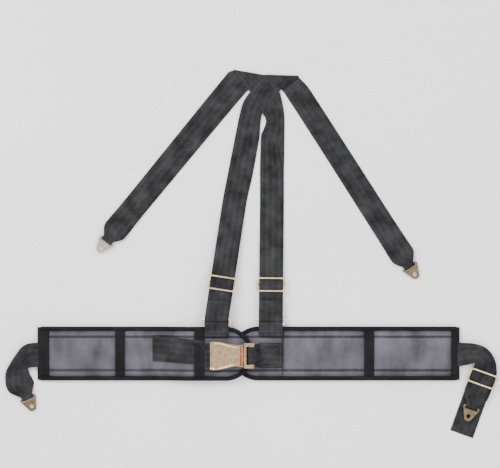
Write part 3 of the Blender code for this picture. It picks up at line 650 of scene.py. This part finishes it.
def outline_half(x, pad):
    """Half the pad's width at this place along it: full, then a half circle at the inner end."""
    beyond = (x - pad.centre) * inward(pad)
    if beyond <= 0:
        return PAD_RADIUS
    return math.sqrt(max(PAD_RADIUS**2 - beyond**2, 0.0))


def channel(distance, width, depth):
    """How far a sewn line pulls the face down at this distance from it."""
    return depth * math.exp(-((distance / width) ** 2))


def edge_distance(x, y, pad):
    """How far inside the pad's outline a point lies."""
    beyond = (x - pad.centre) * inward(pad)
    if beyond > 0:
        return PAD_RADIUS - math.hypot(beyond, y - PAD_Y)
    return min(PAD_RADIUS - abs(y - PAD_Y), abs(x - pad.square))


def pad_top(x, y, pad):
    """The face's height: crowned between the seams, drawn down at each seam, tape and edge."""
    edge = edge_distance(x, y, pad)
    z = FACE_AT_EDGE + FACE_RISE * smoothstep(edge / 17.0)
    z += CROWN * smoothstep(edge / 26.0) * (1 - (abs(y - PAD_Y) / PAD_RADIUS) ** 2)
    z -= channel(abs(y - PAD_Y) - SEAM, *SEAM_VALLEY) * smoothstep(edge / 8.0)
    for place_x, width in pad.crossings:
        z -= channel(x - place_x, width, TAPE_VALLEY_DEPTH) * smoothstep(edge / 10.0)
    folds = noise.noise(Vector((x * 0.04, y * 0.011, 3.1)))
    folds += 0.5 * noise.noise(Vector((x * 0.09, y * 0.03, 8.0)))
    z += WRINKLE * folds * smoothstep(edge / 22.0)
    if not pad.lifted:
        return min(z, UNDER_OTHER_PAD + (FACE_LIMIT - UNDER_OTHER_PAD) * smoothstep((x - 18.0) / 24.0))
    return min(z, FACE_LIMIT) + raised(x, pad)


def painted_fold_shade(x, y, pad):
    """How much painted shade a point takes, from 0 to 1: darker near the pad's edge, along each sewn seam
    and beside each tape.
    """
    edge = edge_distance(x, y, pad)
    folds = [channel(edge, 9.0, 1.0), channel(abs(y - PAD_Y) - SEAM, 1.9, 1.0)]
    folds += [0.7 * channel(x - place_x, width * 0.8, 1.0) for place_x, width in pad.crossings]
    return max(folds)


def pad_columns(pad):
    """Places along the pad: even steps, then closer together round its half circle."""
    steps, round_steps = 165, 26
    direction = inward(pad)
    run = abs(pad.centre - pad.square)
    straight = [pad.square + direction * run * i / steps for i in range(steps)]
    angles = [math.pi / 2 * i / round_steps for i in range(round_steps)]
    return straight + [pad.centre + direction * (PAD_RADIUS - 0.8) * math.sin(angle) for angle in angles]


def pad_cover(pad):
    """The padded cover: one closed form, flat underneath and crowned on top."""
    across = 60
    bm = bmesh.new()
    top, bottom = [], []
    for x in pad_columns(pad):
        half = max(outline_half(x, pad) - COVER_INSET, 3.0)
        line = [PAD_Y + half * (2 * k / across - 1) for k in range(across + 1)]
        top.append([bm.verts.new((x, y, pad_top(x, y, pad))) for y in line])
        base = [1.0 if 0 < k < across else 2.4 for k in range(across + 1)]
        bottom.append([bm.verts.new((x, y, z + raised(x, pad))) for y, z in zip(line, base)])
    close_sheets(bm, top, bottom)
    mesh = smooth_mesh(bm, f"pad_cover_{pad.side}")
    # The fold attribute holds painted shade for the edge, the seams and the tapes.
    depth = mesh.attributes.new("fold", "FLOAT", "POINT")
    for vert, value in zip(mesh.vertices, depth.data):
        value.value = painted_fold_shade(vert.co.x, vert.co.y, pad)
    obj = link(bpy.data.objects.new(f"pad_cover_{pad.side}", place(mesh)))
    names = [f"pad_{part}_{pad.side}" for part in ("foam", "face", "backing")]
    names.append(f"webbing_sleeve_{pad.side}")
    finish_piece(obj, NYLON, pad.body, names)


def pad_path(pad, inset):
    """Points round the pad's outline, drawn in by the inset, with short arcs at the square corners."""
    corner, step = 5.0, 6.0
    direction = inward(pad)
    radius = PAD_RADIUS - inset
    points = []
    first = pad.square + direction * inset
    for i in range(5):
        angle = math.pi + math.pi / 2 * i / 4
        x = corner + corner * math.cos(angle)
        points.append((first + direction * x, PAD_Y - radius + corner + corner * math.sin(angle)))
    run = abs(pad.centre - first) - corner
    count = max(2, round(run / step))
    for i in range(1, count):
        points.append((first + direction * (corner + run * i / count), PAD_Y - radius))
    mirror = [(x, 2 * PAD_Y - y) for x, y in points]
    for i in range(25):
        angle = -math.pi / 2 + math.pi * i / 24
        points.append((pad.centre + direction * radius * math.cos(angle), PAD_Y + radius * math.sin(angle)))
    return points + mirror[::-1]


def sweep(name, path, section, height):
    """A section of (outward, up) pairs carried round a closed path, at the height given at each X."""
    bm = bmesh.new()
    uv_layer = bm.loops.layers.uv.new("UVMap")
    rings, spots, length = [], {}, 0.0
    for i, (x, y) in enumerate(path):
        tangent = (Vector(path[(i + 1) % len(path)]) - Vector(path[i - 1])).normalized()
        normal = Vector((tangent.y, -tangent.x))
        if i:
            length += (Vector(path[i]) - Vector(path[i - 1])).length
        ring = []
        for k, (out, up) in enumerate(section):
            vert = bm.verts.new((x + normal.x * out, y + normal.y * out, up + height(x)))
            spots[vert] = (k * 1.6 * MM, length * MM)
            ring.append(vert)
        rings.append(ring)
    for face in close_rings(bm, rings):
        for loop in face.loops:
            loop[uv_layer].uv = spots[loop.vert]
    return place(smooth_mesh(bm, name))


def binding(pad):
    """Folded edge tape: a rounded section that grips the pad's edge above and below."""
    half_width, half_height, square_off, inset, sides = 4.6, 4.4, 0.7, 4.7, 16
    section = []
    for i in range(sides):
        angle = 2 * math.pi * i / sides
        out, up = math.cos(angle), math.sin(angle)
        out = math.copysign(abs(out) ** square_off, out) * half_width
        up = math.copysign(abs(up) ** square_off, up) * half_height
        section.append((out, up + inset))
    mesh = sweep(f"binding_{pad.side}", pad_path(pad, inset), section, lambda x: raised(x, pad))
    obj = link(bpy.data.objects.new(f"edge_binding_{pad.side}", mesh))
    finish_piece(obj, TAPE, pad.body, [f"pad_binding_{pad.side}"])


def stitch_line(name, path, body, look=THREAD, pitch=4.2):
    """A run of separate stitches: short rounded threads that dip into the cloth at each end."""
    thread = pitch * 0.72
    bm = bmesh.new()
    at = 0.0
    for first, last in zip(path, path[1:]):
        span = last - first
        length = span.length
        while at + thread <= length:
            if at >= 0:
                stitch(bm, first + span * (at / length), first + span * ((at + thread) / length))
            at += pitch
        at = min(at - length, 0.0)
    obj = link(bpy.data.objects.new(name, place(smooth_mesh(bm, name))))
    finish_piece(obj, look, body)


def stitch(bm, start, end):
    """One stitch: a thread of round section, thinner and lower at its ends."""
    radius, sides = 0.45, 6
    along = (end - start).normalized()
    side = along.cross(UP).normalized()
    up = side.cross(along)
    rings = []
    for t, sink, size in ((0, -0.4, 0.4), (0.25, 0.1, 1.0), (0.75, 0.1, 1.0), (1, -0.4, 0.4)):
        centre = start.lerp(end, t) + UP * (sink * radius)
        ring = []
        for k in range(sides):
            angle = 2 * math.pi * k / sides
            out = side * math.cos(angle) + up * math.sin(angle)
            ring.append(bm.verts.new(centre + out * radius * size))
        rings.append(ring)
    for before, after in zip(rings, rings[1:]):
        for k in range(sides):
            following = (k + 1) % sides
            bm.faces.new((before[k], after[k], after[following], before[following]))
    bm.faces.new(rings[0])
    bm.faces.new(rings[-1][::-1])


# Camera, light and floor.


def stage_and_camera():
    """A pale floor, three soft lamps, a white world, and a camera straight above the middle."""
    bm = bmesh.new()
    bmesh.ops.create_grid(bm, x_segments=1, y_segments=1, size=6.0)
    mesh = bpy.data.meshes.new("floor")
    bm.to_mesh(mesh)
    bm.free()
    floor = link(bpy.data.objects.new("floor", mesh))
    floor.location.z = -0.0008
    look = Look("pale_floor", (0.9, 0.9, 0.9), 0.85)
    look.use("Base Color", look.ramp(look.object_noise(1.5, 2.0), (0.88, 0.88, 0.885), (0.93, 0.93, 0.93)))
    mesh.materials.append(look.material)
    for name, place_at, size, power in (
        ("key", (-1.5, 1.3, 2.4), 1.6, 95.0),
        ("fill", (1.8, 0.6, 2.4), 2.2, 45.0),
        ("front", (0.2, -2.0, 2.0), 2.0, 30.0),
    ):
        lamp = bpy.data.lights.new(name, "AREA")
        lamp.size = size
        lamp.energy = power
        obj = link(bpy.data.objects.new(name, lamp))
        obj.location = place_at
        obj.rotation_euler = (-Vector(place_at)).to_track_quat("-Z", "Y").to_euler()
    world = bpy.data.worlds.new("studio")
    world.use_nodes = True
    world.node_tree.nodes["Background"].inputs["Color"].default_value = (1.0, 1.0, 1.0, 1.0)
    world.node_tree.nodes["Background"].inputs["Strength"].default_value = 1.2
    bpy.context.scene.world = world
    camera = bpy.data.cameras.new("camera")
    camera.sensor_width = 36.0
    camera.lens = 144.0
    obj = link(bpy.data.objects.new("camera", camera))
    middle = (Vector((11.0, 54.0, 0.0)) - ORIGIN) * MM
    obj.location = (middle.x, middle.y, 4.0)
    bpy.context.scene.camera = obj


# Metal pieces keep their CAD shapes and take finished materials.

METAL = {
    "shoulder_bracket_left": PALE,
    "shoulder_bracket_right": YELLOW,
    "lap_bracket_left": YELLOW,
    "lap_bracket_right": YELLOW,
    "strap_ring_left": GOLD,
    "strap_ring_right": GOLD,
    "buckle_body": CHAMPAGNE,
    "buckle_tongue": CHAMPAGNE,
    "buckle_hinge_pin": STEEL,
    "buckle_spring": STEEL,
}


def finish_metal():
    for name, look in METAL.items():
        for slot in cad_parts[name].material_slots:
            slot.material = look


# Tapes, the webbing at the buckle, the lever and the sewing.


def cross_tapes():
    """Black tapes over each pad, drawn down with the face and turned over its edges."""
    steps, half_length = 26, 50.5
    for name, width, pad in (
        ("left_outer", 20.5, LEFT_PAD),
        ("left_middle", 19.0, LEFT_PAD),
        ("left_inner", 19.0, LEFT_PAD),
        ("right_inner", 19.4, RIGHT_PAD),
        ("right_outer", 14.5, RIGHT_PAD),
    ):
        x = TAPE_X[name]
        places = (x - width / 2, x, x + width / 2)
        raise_by = 2.9 if name == "left_inner" else 0.9
        rows = []
        for i in range(steps + 1):
            y = PAD_Y + half_length * (1 - 2 * i / steps)
            z = max(pad_top(at, y, pad) for at in places)
            rows.append(row((places[0], y), (places[2], y), z + raise_by))
        strap(f"pad_tape_{name}", rows, pad.body, [f"cross_tape_{name}"], TAPE, 4.0, 0.0)


def belt_tail():
    """The loose end of the left lap webbing, which lies aslant on the left pad."""
    start, length, turn, steps = -183.2, 103.2, 9.0, 12
    plain = LEFT_PAD._replace(crossings=())
    rows = []
    for i in range(steps + 1):
        x = start + length * i / steps
        slope = turn * i / steps
        rows.append(row((x, -148.8 - slope), (x, -199.4 - slope * 0.75), pad_top(x, PAD_Y, plain) + 1.1))
    strap("belt_tail_web", rows, LEFT, ["belt_tail"], ripple=0.6)


def lap_web():
    """The webbing that shows between the left pad's last tape and the buckle, and the tongue's own."""

    def line(x, half, z):
        return row((x, BUCKLE_Y + half), (x, BUCKLE_Y - half), z)

    low, top, turn_x = 22.85, 26.45, -58.0
    rows = [line(-92.0, HALF_WEB, 22.3), line(-75.0, HALF_WEB, 22.6)]
    first, second = line(turn_x, HALF_WEB, low)
    rows += folded(first.xy, second.xy, low, top, (1.0, 0.0))
    rows.append(line(-73.0, HALF_WEB, top))
    strap("lap_web_at_buckle", rows, LEFT, ["lap_webbing_left"], ripple=0.0)

    full, narrow, fold, bar, low = 24.9, 17.7, 2.05, 27.0, 14.9
    rows = [line(74.2, full, low), line(32.0, full, low), line(15.0, narrow, bar - fold)]
    first, second = line(9.0, narrow, bar)
    rows += folded(first.xy, second.xy, bar - fold, bar + fold, (-1.0, 0.0))
    rows += [line(19.6, narrow, bar + fold), line(35.0, full, low + MEETING_STEP)]
    rows.append(line(74.2, full, low + SEWN_STEP))
    strap("tongue_web", rows, RIGHT, ["tongue_webbing", "lap_webbing_right"], ripple=0.0)


# Half the lever's width at places along it, from its hinge to its lip, and its top's height.
LEVER_SIDES = (
    (-8.5, 18.7), (-16.0, 18.8), (-24.0, 20.0), (-32.0, 22.4), (-40.0, 25.0), (-47.0, 26.8),
    (-54.0, 27.8), (-61.0, 28.3), (-65.5, 28.1), (-68.0, 26.6),
)
LEVER_TOP = 33.2
LEVER_THICKNESS = 1.5
RIM = 0.9
DISH = 0.5
LIP_DROP = 3.4


def lever_half(x):
    """Half the lever's width at this place, in a straight line between its stations."""
    for (first, start), (last, end) in zip(LEVER_SIDES, LEVER_SIDES[1:]):
        if x >= last:
            return start + (end - start) * (first - x) / (first - last)
    return LEVER_SIDES[-1][1]


def lever_plate():
    """The lever: a pressed plate with curved sides, a raised rim and a lip turned down to lift it by."""
    across, along = 36, 44
    first, last = LEVER_SIDES[0][0], LEVER_SIDES[-1][0]
    bm = bmesh.new()
    layers = ([], [])
    for i in range(along + 1):
        x = first + (last - first) * i / along
        drop = LIP_DROP * smoothstep((-60.5 - x) / 7.5)
        for layer, sink in zip(layers, (0.0, LEVER_THICKNESS)):
            line = []
            for k in range(across + 1):
                t = 2 * k / across - 1
                rim = RIM * smoothstep((abs(t) - 0.86) / 0.09) * smoothstep((-8.0 - x) / 12.0)
                dish = DISH * (1 - t * t) * smoothstep((x + 62.0) / 20.0)
                y = BUCKLE_Y + lever_half(x) * t
                line.append(bm.verts.new((x, y, LEVER_TOP - drop + rim - dish - sink)))
            layer.append(line)
    close_sheets(bm, *layers)
    obj = link(bpy.data.objects.new("lever_plate", place(smooth_mesh(bm, "lever_plate", 50))))
    finish_piece(obj, CHAMPAGNE, "lever", ["buckle_lever"])


def lever_roller():
    """The tube round the lever's hinge pin, with chamfered ends; its copper-brown tone is painted reflection
    of brownish surroundings.
    """
    radius, bore, half, chamfer, sides = 3.9, 1.9, 18.9, 0.6, 36
    profile = [(bore, -half), (radius - chamfer, -half), (radius, -half + chamfer)]
    profile += [(radius, half - chamfer), (radius - chamfer, half), (bore, half)]
    bm = bmesh.new()
    rings = []
    for i in range(sides):
        angle = 2 * math.pi * i / sides
        out = Vector((math.cos(angle), 0.0, math.sin(angle)))
        rings.append([bm.verts.new(PIN + out * r + Vector((0.0, y, 0.0))) for r, y in profile])
    close_rings(bm, rings)
    obj = link(bpy.data.objects.new("lever_roller", place(smooth_mesh(bm, "lever_roller", 40))))
    finish_piece(obj, BARREL_REFLECTION, "lever")


def webbing_stitches():
    """The tongue's box with its cross, the diamond where the straps cross, and the sewn-down ends."""
    near, far, side, height = 31.0, 71.5, 21.5, 17.75
    box = [(near, side), (far, side), (far, -side), (near, -side), (near, side), (far, -side)]
    for name, corners in (("box", box), ("cross", [(far, side), (near, -side)])):
        path = [Vector((x, BUCKLE_Y + y, height)) for x, y in corners]
        stitch_line(f"tongue_{name}_stitch", path, RIGHT)
    top = RIGHT_FRONT + 0.85
    corners = [(13.5, 335.5), (39.0, 364.0), (70.0, 341.0), (36.0, 301.0), (13.5, 335.5)]
    stitch_line("crossing_stitch", [Vector((x, y, top)) for x, y in corners], LEFT)
    for name, (_, ring_x, layer), body in (("left", LEFT_RUN, LEFT), ("right", RIGHT_RUN, RIGHT)):
        for n, (y, above) in enumerate(((-140.5, 3.0), (-147.5, 2.85))):
            path = [Vector((ring_x + x, y, layer + above)) for x in (-22.0, 22.0)]
            stitch_line(f"ring_tab_stitch_{name}_{n}", path, body)
    for name, (bar, along) in (("left", LEFT_REAR), ("right", RIGHT_REAR)):
        for n, distance in enumerate((66.0, 71.0)):
            path = station(bar, along, distance, side, 3.4)
            stitch_line(f"rear_return_stitch_{name}_{n}", path, LEFT)


def pad_stitches():
    """The two seams of each pad's sleeve, and the seam across the right pad."""
    start, past_centre, steps, proud, pitch = 12.0, 18.0, 59, 0.15, 3.4
    for pad in (LEFT_PAD, RIGHT_PAD):
        length = abs(pad.centre - pad.square) + past_centre
        for n, y in enumerate((PAD_Y - SEAM, PAD_Y + SEAM)):
            path = []
            for i in range(steps + 1):
                x = pad.square + inward(pad) * (start + (length - start) * i / steps)
                path.append(Vector((x, y, pad_top(x, y, pad) + proud)))
            stitch_line(f"sleeve_seam_{pad.side}_{n}", path, pad.body, GREY_THREAD, pitch)
    path = [Vector((CROSS_SEAM[0], PAD_Y - 44.0 + 4.0 * i, 0.0)) for i in range(23)]
    for point in path:
        point.z = pad_top(point.x, point.y, RIGHT_PAD) + proud
    stitch_line("cross_seam_right", path, RIGHT, GREY_THREAD, pitch)


stage_and_camera()
finish_metal()
rear_and_shoulder_straps()
ring_tab("left", LEFT_RUN, LEFT)
ring_tab("right", RIGHT_RUN, RIGHT)
lap_ends()
slides()
pad_cover(LEFT_PAD)
pad_cover(RIGHT_PAD)
binding(LEFT_PAD)
binding(RIGHT_PAD)
cross_tapes()
belt_tail()
lap_web()
lever_plate()
lever_roller()
webbing_stitches()
pad_stitches()
